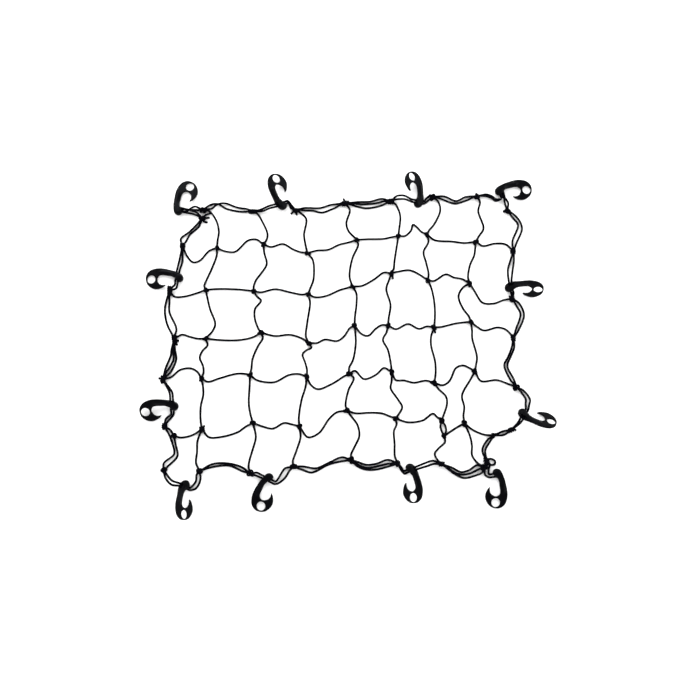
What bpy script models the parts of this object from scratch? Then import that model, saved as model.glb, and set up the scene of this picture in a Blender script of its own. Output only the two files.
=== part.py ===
"""Elastic cargo net laid flat: one knotted net of 4 mm round cord and twelve moulded hooks.

Metres, +Z up, the net resting on Z = 0.  The lie of the cord is kept as hand-chosen points on a
700 x 700 layout grid, drawn as seen from a point VIEW_FAR away and VIEW_TILT off plumb.
"""
import math

import bmesh
import bpy
import numpy as np
from mathutils import Matrix, Vector

MM = 0.001

# ---- layout grid -------------------------------------------------------------------------------
VIEW_FAR = 1.5                     # eye to the middle of the net
VIEW_TILT = math.radians(8.0)      # eye off plumb, toward -Y
VIEW_SCALE = 789.0                 # layout units at unit distance
VIEW_MID = (348.0, 348.0)          # layout point under the middle of the view
SHIFT = (-0.0010, 0.0121)          # puts the whole piece's middle on the origin

# ---- cord --------------------------------------------------------------------------------------
CORD_SIDES = 4                     # faces round a cord
CORD_R = 2.5 * MM                  # to the corners of the four-sided cord, as full as 4 mm round
CORD_Z = 2.4 * MM                  # middle of a cord between knots
CORD_TOL = 1.25 * MM               # how far a mesh cord's straight piece may leave the curve
BORDER_TOL = 0.8 * MM              # the same for the border, whose cords lie close together
CORD_STEP = 34 * MM                # longest straight piece
END_IN = 2.7 * MM                  # a cord stops this far from the middle of its knot
STACK = 4.6 * MM                   # middles of two cords lying over each other
STACK_RAMP = 12 * MM               # length over which a cord climbs onto another
KNOT_BELLY = 4.7 * MM              # height at which a knot is widest
KNOT_NEAR = 10 * MM                # inside this a third cord keeps to the second's height
LANE = 2.5 * MM                    # half the distance of the two cords in a hook's eye
EYE_DROP = 44 * MM                 # length over which a cord comes down from an eye
TURN_LAYER = 2.05 * MM             # half the height between two cords turned back one on one
TURN_R = 2.8 * MM                  # bend of a cord turning back inside an eye

# ---- hook --------------------------------------------------------------------------------------
PLATE_T = 4.4 * MM                 # head and prong thickness
HOLE = (63.6 * MM, 14.9 * MM)      # middle of the head's round hole
HOLE_R = 8.1 * MM
FOOT_AT = (10.3 * MM, 6.3 * MM)    # middle of the round foot
FOOT_R = 9.3 * MM
FOOT_T = 12.6 * MM
FOOT_EDGE = 2.2 * MM               # chamfer round the foot's two faces
EYE = (12.2 * MM, 9.4 * MM)        # slot for the border: along the shank, through the thickness
EYE_AT = (14.2 * MM, 6.3 * MM)     # middle of the slot, which runs right across the foot

# Outline of the flat hook without its foot, mm: along from the foot's end, across to the mouth.
HOOK_OUTLINE = (
    (8, -2.0), (13, -3.9), (19, -5.5), (26, -6.8), (34, -8.0), (42, -8.8), (50, -8.7),
    (57, -7.4), (63, -5.2), (68, -2.2), (72, 2.4), (74.4, 8.0), (74.6, 13.6), (72.8, 20.6),
    (69, 26.2), (64, 29.9), (58, 32.4), (51.5, 33.0), (45.5, 31.3), (40, 28.4), (36.2, 25.4),
    (33.8, 21.8), (38.4, 23.2), (43, 23.2), (47.4, 21.2), (50.8, 17.2), (52.6, 12.6),
    (51.4, 8.4), (48.4, 5.2), (43, 4.1), (34, 4.2), (25, 4.5), (22.4, 5.4), (16, 8.6), (8, 6))
# The thick bar from foot to head, mm: along, its middle line, half its width, half its
# thickness at the edges and at the ridge.
HOOK_BAR = ((12, 3.2, 5.6, 5.3, 5.9), (24, -1.0, 5.0, 3.8, 4.9), (36, -2.0, 5.7, 1.9, 4.3),
            (46, -2.2, 5.9, 1.8, 4.1))
BAR_END = (58, -0.8)

# Hooks: name, hole middle on the layout, heading from +X, mouth side (+1 right), roll.
HOOKS = (
    ("hook_01", 190.0, 187.0, 76.5, 1, 0),
    ("hook_02", 276.3, 179.0, 111.5, 1, 28),
    ("hook_03", 412.0, 176.8, 94.5, -1, -33),
    ("hook_04", 526.3, 190.0, 13.0, 1, 0),
    ("hook_05", 538.0, 289.5, -1.0, 1, 55),
    ("hook_06", 551.0, 421.6, -25.0, -1, 42),
    ("hook_07", 495.6, 502.5, -84.5, 1, 0),
    ("hook_08", 413.3, 497.5, -77.0, 1, 33),
    ("hook_09", 261.0, 506.0, -114.5, -1, 0),
    ("hook_10", 184.0, 514.3, -94.0, -1, 54),
    ("hook_11", 145.5, 412.0, -177.5, -1, 18),
    ("hook_12", 151.4, 279.5, 173.0, -1, 0))

# Knots: name, layout point, length mm, width mm, height mm, turn of the length from +X.
KNOTS = (
    ("k11", 217.0, 248.0, 10, 9, 8, 0), ("k12", 263.5, 244.5, 10, 9, 8, 45),
    ("k13", 307.5, 253.3, 11, 9, 8, 0), ("k14", 357.0, 240.0, 10, 9, 8, 60),
    ("k15", 398.3, 236.3, 10, 9, 8, 90), ("k16", 427.0, 235.0, 14, 9, 8, 118),
    ("k17", 475.7, 242.0, 11, 9, 8, 30),
    ("k21", 206.0, 290.0, 10, 9, 8, 0), ("k22", 253.5, 291.3, 10, 9, 8, 20),
    ("k23", 308.0, 294.3, 10, 9, 8, 0), ("k24", 352.3, 286.7, 11, 9, 8, 150),
    ("k25", 391.3, 273.5, 11, 9, 8, 100), ("k26", 427.7, 280.5, 11, 9, 8, 120),
    ("k27", 469.5, 283.5, 13, 9, 8, 110),
    ("k31", 205.5, 338.7, 11, 9, 8, 30), ("k32", 261.0, 332.7, 13, 9, 8, 10),
    ("k33", 308.5, 343.0, 13, 9, 8, 150), ("k34", 354.5, 325.5, 11, 9, 8, 120),
    ("k35", 388.0, 325.7, 11, 9, 8, 70), ("k36", 434.0, 327.5, 14, 10, 8, 110),
    ("k37", 470.7, 322.0, 11, 9, 8, 0),
    ("k41", 201.3, 378.5, 11, 9, 8, 60), ("k42", 250.0, 375.0, 11, 9, 8, 60),
    ("k43", 306.7, 377.0, 13, 9, 8, 100), ("k44", 349.0, 374.0, 12, 9, 8, 0),
    ("k45", 391.7, 372.0, 12, 9, 8, 90), ("k46", 434.0, 383.0, 13, 10, 8, 150),
    ("k47", 474.7, 371.3, 12, 10, 8, 110),
    ("k51", 202.0, 429.5, 14, 11, 8, 110), ("k52", 253.0, 423.0, 11, 9, 8, 150),
    ("k53", 299.3, 426.5, 11, 9, 8, 45), ("k54", 347.0, 410.7, 13, 10, 8, 0),
    ("k55", 395.5, 418.5, 11, 9, 8, 0), ("k56", 441.5, 420.5, 12, 10, 8, 120),
    ("k56b", 444.0, 436.0, 10, 9, 8, 90), ("k57", 464.3, 423.3, 12, 10, 8, 100),
    ("T1", 203.0, 210.5, 12, 11, 9.5, 0), ("TC", 202.5, 218.5, 15, 11, 9.5, 20),
    ("T2", 252.5, 211.5, 18, 11, 9.5, 0), ("T3", 295.5, 210.5, 14, 11, 9.5, 0),
    ("T4", 345.0, 203.5, 18, 12, 9.5, 10), ("T5", 390.8, 201.5, 15, 13, 9.5, 0),
    ("T6", 432.0, 197.0, 13, 12, 9.5, 90), ("T7", 477.0, 196.5, 12, 10, 9.5, 90),
    ("L1", 182.5, 246.0, 14, 12, 9.5, 90), ("L2", 169.7, 291.0, 22, 11, 9.5, 90),
    ("L3", 174.5, 339.0, 20, 12, 9.5, 100), ("L4", 163.0, 379.5, 17, 12, 9.5, 90),
    ("L5", 164.5, 426.5, 14, 12, 9.5, 90), ("L5b", 174.0, 436.0, 11, 10, 9.5, 120),
    ("L6", 164.0, 470.5, 12, 11, 9.5, 90),
    ("R0", 507.0, 210.8, 13, 11, 9.5, 0), ("R1", 513.0, 251.5, 14, 12, 9.5, 90),
    ("R2", 512.0, 299.0, 15, 12, 9.5, 100), ("R3", 513.3, 338.0, 16, 11, 9.5, 90),
    ("R4", 516.0, 387.0, 13, 12, 9.5, 90), ("R5", 511.0, 430.0, 16, 11, 9.5, 20),
    ("R5b", 493.5, 435.5, 12, 9, 9.5, 40),
    ("B1", 199.7, 471.0, 14, 12, 9.5, 0), ("B2", 250.7, 473.5, 13, 12, 9.5, 0),
    ("B3", 293.5, 466.5, 14, 11, 9.5, 0), ("B4", 351.0, 460.0, 13, 11, 9.5, 90),
    ("B5", 397.7, 463.5, 14, 11, 9.5, 90), ("B6", 441.5, 464.0, 14, 11, 9.5, 0),
    ("B7", 484.0, 467.5, 13, 11, 9.5, 0), ("B8", 486.5, 461.5, 17, 12, 9.5, 100))

# Mesh cords running down the net: knot, knot, layout points between them.
MESH_DOWN = (
    ("T1", "k11", (209, 211), (216, 220), (218.8, 231), (217.5, 241)),
    ("k11", "k21", (216.8, 255), (212.5, 267), (207, 279), (204.3, 286)),
    ("k21", "k31", (207.2, 297), (210, 309), (215.2, 324), (212.5, 331)),
    ("k31", "k41", (207.6, 345), (202, 351.5), (199.8, 358), (203, 366), (203.5, 373)),
    ("k41", "k51", (202.8, 385), (203.2, 395), (200.7, 406), (200.5, 420)),
    ("k51", "B1", (197.5, 441), (197, 452), (196, 463)),
    ("T2", "k12", (257.5, 214), (262, 221), (267.5, 234), (266.5, 240)),
    ("k12", "k22", (264.3, 253), (266.7, 264), (261, 273.5), (256, 280), (253.8, 286)),
    ("k22", "k32", (257, 296.5), (261, 300.5), (255, 309), (254.7, 318), (258, 328)),
    ("k32", "k42", (262.8, 338), (258, 346), (252.5, 359), (251.5, 368)),
    ("k42", "k52", (249.6, 386), (248.7, 402), (250.3, 414)),
    ("k52", "B2", (255.8, 437), (252.5, 450), (249.5, 460), (248.6, 467)),
    ("T3", "k13", (300.5, 213), (306.2, 219), (304, 235), (306, 247)),
    ("k13", "k23", (312.8, 260), (313.5, 279), (310, 289)),
    ("k23", "k33", (310, 302), (307, 324), (305.8, 336)),
    ("k33", "k43", (311.5, 347.5), (306, 350.5), (302.5, 354.5), (305, 362), (307, 370)),
    ("k43", "k53", (305.5, 387), (301.5, 400), (298.8, 418)),
    ("k53", "B3", (300.5, 437), (296.3, 451), (292.8, 461)),
    ("T4", "k14", (349.8, 210), (346.3, 223), (348.5, 231), (353, 236)),
    ("k14", "k24", (358.2, 245), (352.5, 258), (349.5, 276)),
    ("k24", "k34", (356.3, 293), (356.3, 306), (355, 316)),
    ("k34", "k44", (355.2, 332), (355.8, 343), (353, 360), (349, 368)),
    ("k44", "k54", (353.8, 378), (348.5, 390), (345.5, 405)),
    ("k54", "B4", (351, 416), (357.5, 425), (359.3, 436), (355, 446), (351, 454.5)),
    ("T5", "k15", (396, 205), (400.2, 216), (399, 230)),
    ("k15", "k25", (396.8, 246), (394.3, 262.5), (393.8, 268.5)),
    ("k25", "k35", (389, 280), (386.3, 289), (390.5, 305), (388.7, 318)),
    ("k35", "k45", (386.5, 332.5), (382.9, 339.5), (388, 350), (391, 365)),
    ("k45", "k55", (391.5, 382), (390.6, 388), (398, 399.5), (402.2, 407), (398.5, 414.5)),
    ("k55", "B5", (396.6, 424.5), (393.9, 431), (394.6, 444), (394.8, 456)),
    ("T6", "k16", (438, 201.5), (440.3, 210), (434, 224.5), (429, 230.5)),
    ("k16", "k26", (428.4, 242), (423.5, 252), (426, 262), (428.6, 274)),
    ("k26", "k36", (431, 287), (434.3, 302), (434.9, 318)),
    ("k36", "k46", (431.2, 336), (431, 345), (435.2, 362), (435.5, 375)),
    ("k46", "k56", (438.5, 389), (446, 396.5), (447, 404), (444, 414)),
    ("k56", "k56b", (440.4, 426.5), (441.6, 431)),
    ("k56", "k56b", (445.4, 426), (446, 431)),
    ("k56b", "B6", (445.2, 441.8), (438, 449), (434.7, 454), (438, 460.5)),
    ("T7", "k17", (480, 202.5), (478.2, 211), (483.5, 228.5), (479, 236)),
    ("k17", "k27", (474.3, 255), (470, 265), (468, 277)),
    ("k27", "k37", (463, 287.5), (458.5, 296), (463, 308.5), (469, 316.5)),
    ("k37", "k47", (472, 330), (472.2, 338), (477, 357), (476, 365)),
    ("k47", "k57", (470.5, 379.5), (462, 395.5), (464.3, 407), (463.4, 416)),
    ("k57", "B7", (470, 436), (472, 446), (472, 455), (477, 462.5)))

# Mesh cords running across the net, in the same form.
MESH_ACROSS = (
    ("L1", "k11", (187, 256), (193, 262.3), (200, 260.5), (209, 251)),
    ("k11", "k12", (224, 251), (235, 251.8), (248, 240.5), (256.5, 239.5)),
    ("k12", "k13", (271, 247), (283, 244), (293, 249.3), (300, 252)),
    ("k13", "k14", (317, 250.5), (328, 249.8), (339, 244.8), (349, 242.3)),
    ("k14", "k15", (366, 239.2), (384, 238.8), (391, 237.3)),
    ("k15", "k16", (405, 236), (411, 230.5), (413, 224.6), (416.5, 226.8), (421, 231.5)),
    ("k16", "k17", (435, 240.2), (452, 241.5), (464, 243), (469, 242.6)),
    ("k17", "R1", (483, 246), (495, 243.5), (506, 244.5)),
    ("L2", "k21", (174.5, 296.6), (184, 296.6), (198, 292.8)),
    ("k21", "k22", (216, 289), (238, 289.4), (246, 290.2)),
    ("k22", "k23", (261, 292.3), (275, 289.2), (291, 292.5), (301, 294.5)),
    ("k23", "k24", (315, 297.2), (326, 296), (340, 290)),
    ("k24", "k25", (362, 285.8), (374, 279.5), (384, 272.5)),
    ("k25", "k26", (398, 271.7), (410, 270.3), (421, 275.5)),
    ("k26", "k27", (434, 281), (446, 274.3), (454, 277.5), (462, 279)),
    ("k27", "R2", (474.5, 291), (482.5, 302.6), (494, 303.5), (504, 300)),
    ("L3", "k31", (182, 334.7), (190, 336.8), (198, 338.7)),
    ("k31", "k32", (223, 340.2), (240, 340), (253.5, 337)),
    ("k32", "k33", (275, 336), (290, 334.8), (301, 338)),
    ("k33", "k34", (317, 343), (325, 339.5), (337, 341), (344, 336.5), (349.5, 328.5)),
    ("k34", "k35", (361, 333.5), (368, 335.8), (376, 328.5), (382, 325)),
    ("k35", "k36", (396, 329.1), (408, 324), (419, 328.8), (427, 326.4)),
    ("k36", "k37", (441, 327), (455, 323.6), (464, 322.4)),
    ("k37", "R3", (476, 326), (484, 330.4), (498, 327.4), (506.5, 330)),
    ("L4", "k41", (171, 377.2), (180, 370), (191, 368.4), (198, 372.5)),
    ("k41", "k42", (208, 381.8), (219, 378.5), (235, 374), (243, 373.6)),
    ("k42", "k43", (257, 380.2), (274, 382.2), (289, 375), (299, 374)),
    ("k43", "k44", (311, 385), (318, 389.2), (333, 383.3), (343, 377)),
    ("k44", "k45", (355, 370.8), (364, 379), (376, 374.7), (384, 368)),
    ("k45", "k46", (395.8, 380), (404, 380.4), (414, 382.7), (426, 380.6)),
    ("k46", "k47", (443, 385.2), (449.5, 381), (456, 368), (463, 365.4), (469, 367.8)),
    ("k47", "R4", (481, 381), (497, 380.1), (509, 384.3)),
    ("L5b", "k51", (181, 437.6), (192, 435.3)),
    ("k51", "k52", (209, 437.2), (222, 436.8), (238, 432), (246, 426.5)),
    ("k52", "k53", (263, 426.6), (273, 428.6), (284, 423), (292, 424.4)),
    ("k53", "k54", (308, 437.2), (319, 433), (329, 419), (337, 412.2)),
    ("k54", "k55", (356, 413.3), (370, 412.7), (382, 413.4), (389, 416)),
    ("k55", "k56", (408, 422.3), (423, 420.3), (433, 413.6), (437, 417)),
    ("k57", "k56b", (456, 428), (450, 432)),
    ("k57", "R5b", (473, 430), (484, 434.6)))

# Border cords, round the net from its first corner.  A word is a knot, or a hook's eye passed
# in lane -1 or +1 of the eye; a "turn" passes in by one side of the eye and comes back out.
BORDER = (
    ("T1", (210, 205), (218, 204), (226, 208.6), (241, 211.8), "T2"),
    ("T1", (211, 209), (218, 205), (226, 203.6), (237, 207.4), (246, 209), "T2"),
    ("T2", (261.5, 209.8), (268.5, 207.5), ("hook_02", 1), (291.6, 205.4), "T3"),
    ("T2", (261.6, 212.0), (269, 209.7), ("hook_02", -1), (291, 208.4), "T3"),
    ("T3", (304, 208), (320, 208), (332, 204.6), "T4"),
    ("T3", (304, 210.6), (313, 210.8), (322, 212.6), (332, 209.2), "T4"),
    ("T4", (357, 202), (370, 201.6), (382, 198.8), "T5"),
    ("T4", (357, 206.5), (366, 208.3), (380, 206), "T5"),
    ("T4", (358, 204.4), (372, 203.8), (383, 202), "T5"),
    ("T5", (396.5, 196.6), (403.5, 196.8), ("hook_03", 1), (428, 197), "T6"),
    ("T5", (397.5, 200), (404.5, 200.6), ("hook_03", -1), (428.6, 200.6), "T6"),
    ("T6", (444, 196.3), (456, 201), (466, 196.8), "T7"),
    ("T6", (442, 199.4), (455, 203.6), (466, 200.6), "T7"),
    ("T7", (485.5, 194.4), (491, 196), (496, 199.4), ("hook_04", "turn", 0), (504.6, 203), "R0"),
    ("T7", (485, 196.6), (490.6, 198.2), (495.6, 201.6), ("hook_04", "turn", 1), (507.6, 203.5), "R0"),
    ("R0", (512.5, 217.5), (518, 225), (512.5, 241), "R1"),
    ("R0", (517, 217.5), (522, 228), (516.5, 243), "R1"),
    ("R1", (510.3, 261), (507.5, 270), ("hook_05", -1), "R2"),
    ("R1", (513.8, 261), (512, 271), ("hook_05", 1), "R2"),
    ("R2", (516.5, 306), (520.5, 314), (516, 329), "R3"),
    ("R2", (519.5, 304), (524, 315), (518.6, 330), "R3"),
    ("R3", (511.6, 348), (508, 357), (504.3, 365), (509.4, 378), "R4"),
    ("R3", (514, 348), (511, 356), (507.4, 366), (513, 378), "R4"),
    ("R4", (523.5, 390.5), (530, 399.5), (529.2, 404.6), ("hook_06", 1), (518.6, 423.6), "R5"),
    ("R4", (520.6, 391.8), (525.8, 399), (525.6, 403.6), ("hook_06", -1), (516.9, 422.2), "R5"),
    ("R5", (503, 431.3), "R5b"),
    ("R5", (504, 434.8), "R5b"),
    ("R5b", (487, 440.5), (482.3, 450), "B8"),
    ("R5b", (489, 443), (485, 451), "B8"),
    ("B8", (489.8, 464), (488.6, 469), ("hook_07", "turn", 0), (485, 474.8), "B7"),
    ("B7", (477, 465.2), (469, 470.2), (461, 472), (452, 467.6), "B6"),
    ("B7", (478, 469.5), (470, 473.5), (459, 474.3), (450, 469.6), "B6"),
    ("B8", (482, 472.3), (474, 476), (464, 478), (454, 473.6), "B6"),
    ("B6", (433, 460.8), (426, 462.6), ("hook_08", -1), (401, 467), "B5"),
    ("B6", (433, 464), (427, 466), ("hook_08", 1), (401.4, 470.4), "B5"),
    ("B5", (388, 459.8), (376, 463.8), (366, 464.7), (358, 462), "B4"),
    ("B5", (388, 463.8), (376, 466.6), (367, 467.8), (358, 464.8), "B4"),
    ("B5", (388, 466.6), (376, 469.6), (365, 469.4), (357, 466), "B4"),
    ("B4", (342, 457.2), (330, 462.2), (316, 468.2), (303, 466.4), "B3"),
    ("B4", (341, 461.4), (328, 464.8), (312, 472.5), (302, 469.6), "B3"),
    ("B3", (285, 468.4), (281, 474), (278.4, 478.6), ("hook_09", -1), (257, 472.6), "B2"),
    ("B3", (289.4, 471), (285, 478), (278.8, 483), ("hook_09", 1), (256, 475.4), "B2"),
    ("B2", (241, 466.8), (226, 463.2), (212, 464.2), "B1"),
    ("B2", (242, 471), (229, 465.6), (212, 467.2), "B1"),
    ("B1", (196.6, 475), (195.8, 481.4), ("hook_10", -1), (173, 480.4), (168, 475.6), "L6"),
    ("B1", (200.6, 477), (199, 484), (195.6, 488.6), ("hook_10", 1), (172.4, 484.4), (166.4, 478.6), "L6"),
    ("L6", (168, 466.2), (177.4, 456), (175.5, 444), "L5b"),
    ("L6", (164, 463), (174, 454), (171.5, 441), (168, 432.5), "L5"),
    ("L5b", (170.5, 430), "L5"),
    ("L5", (166, 419), ("hook_11", 1), (170.3, 393), "L4"),
    ("L5", (169, 420.5), ("hook_11", -1), (172.6, 392), "L4"),
    ("L4", (165.5, 368.5), (170.6, 356), (171.6, 349), "L3"),
    ("L4", (170.5, 372.2), (176.3, 359), (175, 350), "L3"),
    ("L4", (167.6, 371), (173.6, 359), (173.4, 350), "L3"),
    ("L3", (167, 324), (164.8, 311), (166.3, 301), "L2"),
    ("L3", (176.3, 328.5), (169.4, 312), (169.5, 302), "L2"),
    ("L2", (172.6, 287.6), ("hook_12", 1), (179.2, 262), "L1"),
    ("L2", (176.4, 289), ("hook_12", -1), (182.6, 262), "L1"),
    ("L1", (180.8, 239), (190, 231.4), (197, 224.4), "TC"),
    ("L1", (185.4, 243), (189.4, 235.4), (199.5, 226), "TC"),
    ("TC", (194.6, 214.6), ("hook_01", "turn", 0), (194, 210), "T1"),
    ("TC", (196.6, 213.0), ("hook_01", "turn", 1), (195, 207.2), "T1"))


# ---- places ------------------------------------------------------------------------------------

def floor_point(across, down, height=CORD_Z):
    """Where a layout point lies, at a height above the floor."""
    a = (across - VIEW_MID[0]) / VIEW_SCALE
    b = (VIEW_MID[1] - down) / VIEW_SCALE
    cos_t = math.cos(VIEW_TILT)
    sin_t = math.sin(VIEW_TILT)
    reach = (VIEW_FAR * cos_t - height) / (cos_t - b * sin_t)
    x = reach * a
    y = reach * (sin_t + b * cos_t) - VIEW_FAR * sin_t
    return Vector((x - SHIFT[0], y - SHIFT[1], height))


def spline(points, step=1.5 * MM):
    """Centripetal Catmull-Rom curve through the points, as close samples."""
    pts = [2 * points[0] - points[1]] + list(points) + [2 * points[-1] - points[-2]]
    out = [points[0].copy()]
    for i in range(1, len(pts) - 2):
        p0, p1, p2, p3 = pts[i - 1:i + 3]
        t0 = 0.0
        t1 = t0 + math.sqrt(max((p1 - p0).length, 1e-6))
        t2 = t1 + math.sqrt(max((p2 - p1).length, 1e-6))
        t3 = t2 + math.sqrt(max((p3 - p2).length, 1e-6))
        count = max(2, math.ceil((p2 - p1).length / step))
        for k in range(1, count + 1):
            t = t1 + (t2 - t1) * k / count
            a1 = p0 * ((t1 - t) / (t1 - t0)) + p1 * ((t - t0) / (t1 - t0))
            a2 = p1 * ((t2 - t) / (t2 - t1)) + p2 * ((t - t1) / (t2 - t1))
            a3 = p2 * ((t3 - t) / (t3 - t2)) + p3 * ((t - t2) / (t3 - t2))
            b1 = a1 * ((t2 - t) / (t2 - t0)) + a2 * ((t - t0) / (t2 - t0))
            b2 = a2 * ((t3 - t) / (t3 - t1)) + a3 * ((t - t1) / (t3 - t1))
            out.append(b1 * ((t2 - t) / (t2 - t1)) + b2 * ((t - t1) / (t2 - t1)))
    return out


def thinned(samples, leave):
    """The fewest samples whose straight pieces leave the curve by no more than this."""
    keep = [0]
    while keep[-1] < len(samples) - 1:
        start = keep[-1]
        end = start + 1
        while end + 1 < len(samples):
            a = samples[start]
            ab = samples[end + 1] - a
            if ab.length > CORD_STEP:
                break
            worst = 0.0
            for p in samples[start + 1:end + 1]:
                t = max(0.0, min(1.0, (p - a).dot(ab) / ab.length_squared))
                worst = max(worst, (a + ab * t - p).length)
            if worst > leave:
                break
            end += 1
        keep.append(end)
    if len(keep) > 2 and (samples[keep[-1]] - samples[keep[-2]]).length < 4 * MM:
        keep.pop(-2)
    return [samples[i] for i in keep]


# ---- meshes ------------------------------------------------------------------------------------

def mesh_object(name, verts, faces):
    """A closed mesh as an object, its faces out."""
    mesh = bpy.data.meshes.new(name)
    mesh.from_pydata([tuple(v) for v in verts], [], faces)
    bm = bmesh.new()
    bm.from_mesh(mesh)
    bmesh.ops.recalc_face_normals(bm, faces=bm.faces)
    bm.to_mesh(mesh)
    bm.free()
    obj = bpy.data.objects.new(name, mesh)
    bpy.context.scene.collection.objects.link(obj)
    return obj


def cord(name, points):
    """A many-sided cord through the points, one flat side down."""
    verts = []
    faces = []
    for i, p in enumerate(points):
        ahead = points[min(i + 1, len(points) - 1)]
        behind = points[max(i - 1, 0)]
        along = (p - behind).normalized() + (ahead - p).normalized()
        along.normalize()
        side = along.cross(Vector((0, 0, 1))).normalized()
        up = side.cross(along).normalized()
        for k in range(CORD_SIDES):
            angle = math.radians(-90 + (k - 0.5) * 360 / CORD_SIDES)
            verts.append(p + CORD_R * (side * math.cos(angle) + up * math.sin(angle)))
    for i in range(len(points) - 1):
        ring = CORD_SIDES * i
        for k in range(CORD_SIDES):
            n = (k + 1) % CORD_SIDES
            faces.append((ring + k, ring + n, ring + CORD_SIDES + n, ring + CORD_SIDES + k))
    last = CORD_SIDES * (len(points) - 1)
    faces.append(tuple(range(CORD_SIDES - 1, -1, -1)))
    faces.append(tuple(last + k for k in range(CORD_SIDES)))
    return mesh_object(name, verts, faces)


def knot(name, across, down, long, wide, high, turn):
    """A knot as a six-sided barrel, flat under and over."""
    mid = floor_point(across, down, 0.5 * high * MM)
    verts = []
    for share, level in ((0.8, 0.0), (1.0, KNOT_BELLY), (0.6, high * MM)):
        for k in range(6):
            angle = math.radians(60 * k + 30)
            x = 0.5 * long * MM * share * math.cos(angle)
            y = 0.5 * wide * MM * share * math.sin(angle)
            c = math.cos(math.radians(turn))
            s = math.sin(math.radians(turn))
            verts.append((mid.x + c * x - s * y, mid.y + s * x + c * y, level))
    faces = [tuple(range(5, -1, -1)), tuple(range(12, 18))]
    for ring in (0, 6):
        for k in range(6):
            n = (k + 1) % 6
            faces.append((ring + k, ring + n, ring + 6 + n, ring + 6 + k))
    return mesh_object(name, verts, faces)


def box(name, centre, size):
    """A plain box."""
    verts = []
    for z in (-0.5, 0.5):
        for x, y in ((-0.5, -0.5), (0.5, -0.5), (0.5, 0.5), (-0.5, 0.5)):
            verts.append((centre[0] + x * size[0], centre[1] + y * size[1],
                          centre[2] + z * size[2]))
    faces = [(3, 2, 1, 0), (4, 5, 6, 7)]
    faces += [(k, (k + 1) % 4, 4 + (k + 1) % 4, 4 + k) for k in range(4)]
    return mesh_object(name, verts, faces)


def prism(name, outline, thickness):
    """A flat outline given thickness about Z = 0."""
    count = len(outline)
    verts = [(x, y, -0.5 * thickness) for x, y in outline]
    verts += [(x, y, 0.5 * thickness) for x, y in outline]
    faces = [tuple(range(count - 1, -1, -1)), tuple(range(count, 2 * count))]
    for k in range(count):
        n = (k + 1) % count
        faces.append((k, n, count + n, count + k))
    return mesh_object(name, verts, faces)


def combine(base, others, operation, solver='EXACT'):
    """Join or cut, then drop the other objects."""
    group = bpy.data.collections.new("operands")
    for obj in others:
        group.objects.link(obj)
    mod = base.modifiers.new("combine", 'BOOLEAN')
    mod.operation = operation
    mod.solver = solver
    mod.operand_type = 'COLLECTION'
    mod.collection = group
    graph = bpy.context.evaluated_depsgraph_get()
    made = bpy.data.meshes.new_from_object(base.evaluated_get(graph))
    base.modifiers.clear()
    base.data = made
    for obj in others:
        bpy.data.objects.remove(obj)
    bpy.data.collections.remove(group)
    return base


def fill_pockets(obj):
    """Fills the small hollows that touching cords close in: shells facing inward."""
    bm = bmesh.new()
    bm.from_mesh(obj.data)
    left = set(bm.faces)
    while left:
        shell = {left.pop()}
        edge = list(shell)
        while edge:
            face = edge.pop()
            for side in face.edges:
                for other in side.link_faces:
                    if other in left:
                        left.discard(other)
                        shell.add(other)
                        edge.append(other)
        volume = 0.0
        for face in shell:
            corners = [v.co for v in face.verts]
            for k in range(1, len(corners) - 1):
                volume += corners[0].dot(corners[k].cross(corners[k + 1]))
        if volume < 0:
            bmesh.ops.delete(bm, geom=list(shell), context='FACES')
    bm.to_mesh(obj.data)
    bm.free()


def material(name, colour, rough):
    """A plain Principled material."""
    mat = bpy.data.materials.new(name)
    mat.use_nodes = True
    shader = mat.node_tree.nodes["Principled BSDF"]
    shader.inputs["Base Color"].default_value = (*colour, 1.0)
    shader.inputs["Roughness"].default_value = rough
    return mat


# ---- hooks -------------------------------------------------------------------------------------

def round_foot():
    """The round foot, chamfered at both faces."""
    verts = []
    for level, radius in ((-0.5 * FOOT_T, FOOT_R - FOOT_EDGE), (-0.5 * FOOT_T + FOOT_EDGE, FOOT_R),
                          (0.5 * FOOT_T - FOOT_EDGE, FOOT_R), (0.5 * FOOT_T, FOOT_R - FOOT_EDGE)):
        for k in range(12):
            angle = math.radians(30 * k)
            verts.append((FOOT_AT[0] + radius * math.cos(angle),
                          FOOT_AT[1] + radius * math.sin(angle), level))
    faces = [tuple(range(11, -1, -1)), tuple(range(36, 48))]
    for ring in (0, 12, 24):
        for k in range(12):
            n = (k + 1) % 12
            faces.append((ring + k, ring + n, ring + 12 + n, ring + 12 + k))
    return mesh_object("foot", verts, faces)


def shank_bar():
    """The thick ridged bar from the foot along the shank."""
    verts = []
    faces = [tuple(range(5, -1, -1))]
    for i, (along, middle, half, edge, crest) in enumerate(HOOK_BAR):
        for y, z in ((-half, -edge), (0, -crest), (half, -edge),
                     (half, edge), (0, crest), (-half, edge)):
            verts.append((along * MM, (middle + y) * MM, z * MM))
        for k in range(6 if i else 0):
            n = (k + 1) % 6
            faces.append((6 * i - 6 + k, 6 * i - 6 + n, 6 * i + n))
            faces.append((6 * i - 6 + k, 6 * i + n, 6 * i + k))
    last = 6 * (len(HOOK_BAR) - 1)
    verts.append((BAR_END[0] * MM, BAR_END[1] * MM, 0))
    faces += [(last + k, last + (k + 1) % 6, len(verts) - 1) for k in range(6)]
    return mesh_object("bar", verts, faces)


def hook_solid(name):
    """One hook lying flat about Z = 0: foot at X = 0, mouth toward +Y."""
    hook = prism(name, [(x * MM, y * MM) for x, y in HOOK_OUTLINE], PLATE_T)
    combine(hook, [shank_bar(), round_foot()], 'UNION')
    ring = [(HOLE[0] + HOLE_R * math.cos(math.radians(30 * k)),
             HOLE[1] + HOLE_R * math.sin(math.radians(30 * k))) for k in range(12)]
    slot = box("slot", (EYE_AT[0], EYE_AT[1], 0), (EYE[0], 60 * MM, EYE[1]))
    combine(hook, [prism("hole", ring, 20 * MM), slot], 'DIFFERENCE')
    return hook


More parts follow.
